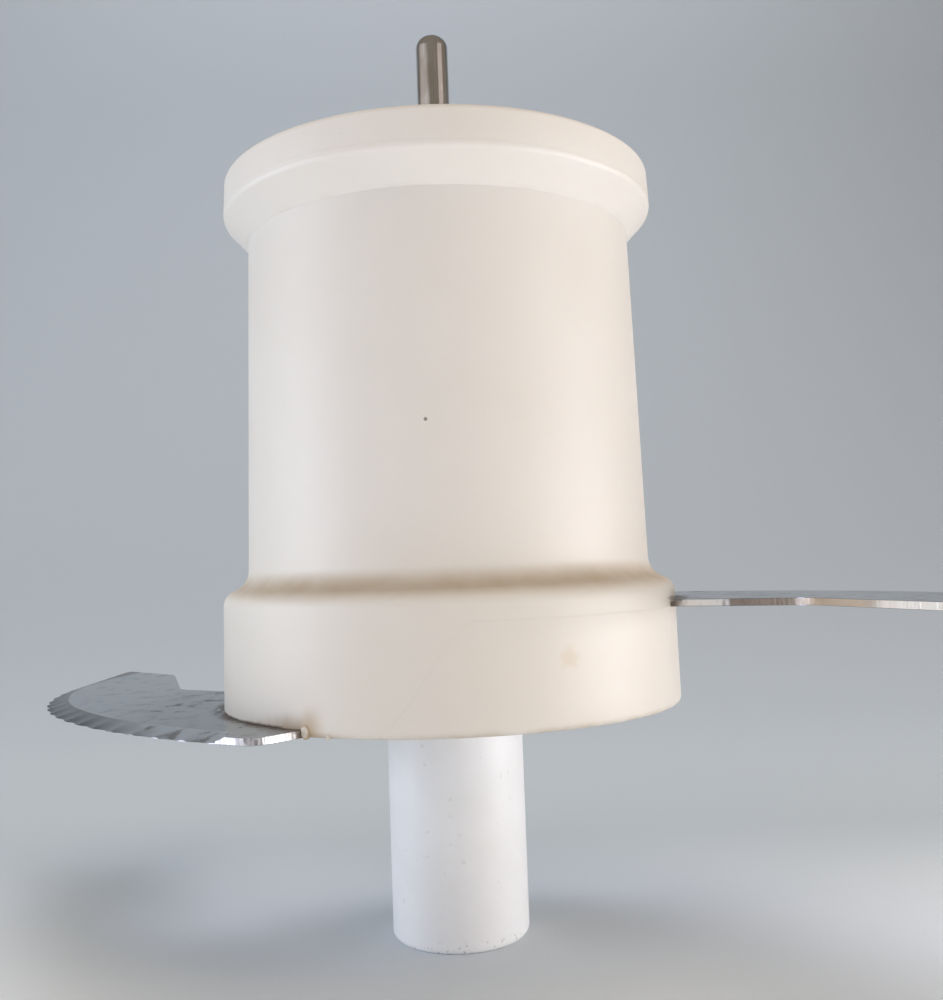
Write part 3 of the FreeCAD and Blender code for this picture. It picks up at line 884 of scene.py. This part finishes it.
bpy.ops.object.mode_set(mode="EDIT")
bpy.ops.mesh.bevel(offset=curve_radius, segments=24, affect="EDGES")
bpy.ops.object.mode_set(mode="OBJECT")
bpy.ops.object.shade_smooth()

paper, place = finish("pale_backdrop_paper", roughness=0.9)
tooth = noise(place, 0.02, 6.0)
grain = noise(place, 1.5, 3.0)
tone = tooth.node("ValToRGB", {"stops": [(0.3, (0.86, 0.91, 0.95, 1)),
                                         (0.7, (0.89, 0.94, 0.98, 1))]}, {0: tooth})
axes = place.node("SeparateXYZ", {}, {0: place}).socket.node
depth = Signal(axes.outputs["Y"])
# Painted light and shade: palest in front of and under the part, over its cast shade, then
# darker with depth against the light from behind.
tone = tone.mix((0.54, 0.60, 0.64, 1), depth.between(-20.0, 60.0))
tone = tone.mix((0.43, 0.475, 0.51, 1), depth.between(120.0, 420.0))
wire(paper, Base_Color=tone, Normal=bump(grain, 0.1 * mm, 0.3))
floor.data.materials.append(paper)


def lamp(name, place, aim, size, watts, colour, glossy=True):
    """A rectangular soft lamp, of a width and a height, that points at a place."""
    bpy.ops.object.light_add(type="AREA", location=place)
    made = bpy.context.object
    made.name = name
    made.data.shape = "RECTANGLE"
    made.data.size, made.data.size_y = size
    made.data.energy = watts
    made.data.color = colour
    made.visible_camera = False
    made.visible_glossy = glossy
    made.rotation_euler = (Vector(aim) - Vector(place)).to_track_quat("-Z", "Y").to_euler()


lamp("cool_window", (-0.75, -0.20, 0.12), (0, 0, 0.12), (0.5, 0.23), 2.1, (0.88, 0.94, 1.18))
lamp("cool_rim", (-0.80, 0.07, 0.12), (0, 0, 0.12), (0.5, 0.23), 0.6, (0.75, 1.10, 1.15))
lamp("low_right", (0.40, -0.12, 0.035), (0, 0, 0.03), (0.3, 0.06), 1.0, (1.01, 0.98, 1.01))
lamp("floor_glow", (0.0, -0.30, 0.004), (0, -0.30, 1), (0.4, 0.4), 0.4, (0.92, 0.97, 1.11))
lamp("high_left", (-0.73, -0.33, 0.53), (0, 0, 0.13), (1.3, 0.22), 0.46, (1.0, 0.98, 1.04))
lamp("high_right", (0.70, -0.39, 0.53), (0, 0, 0.13), (0.5, 0.22), 0.19, (1.1, 0.97, 0.95))
lamp("sky_panel", (0.0, -0.05, 0.80), (0, -0.05, 0), (0.9, 0.9), 1.75, (1.16, 1.0, 0.78),
     glossy=False)
lamp("back_panel", (0.0, 0.42, 0.80), (0, 0.10, 0), (0.6, 0.3), 2.2, (0.95, 0.96, 1.10),
     glossy=False)

world = bpy.data.worlds.new("soft_surround")
world.use_nodes = True
world.node_tree.nodes["Background"].inputs["Color"].default_value = (1.0, 0.88, 0.74, 1)
world.node_tree.nodes["Background"].inputs["Strength"].default_value = 0.30
bpy.context.scene.world = world
bpy.context.scene.view_settings.view_transform = "Standard"

camera_distance = 163.06 * mm
camera_height = hub_foot + 21.12 * mm
bpy.ops.object.camera_add(location=(0, -camera_distance, camera_height))
camera = bpy.context.object
camera.name = "studio_camera"
camera.data.sensor_width = 36
camera.data.lens = 38.2
camera.data.clip_start = 0.005
turn_right = 0.0231
tilt_up = 0.0592
roll = 0.0357
aim = (Matrix.Rotation(-turn_right, 3, "Z") @ Matrix.Rotation(math.pi / 2 + tilt_up, 3, "X")
       @ Matrix.Rotation(-roll, 3, "Z"))
camera.rotation_euler = aim.to_euler()
bpy.context.scene.camera = camera
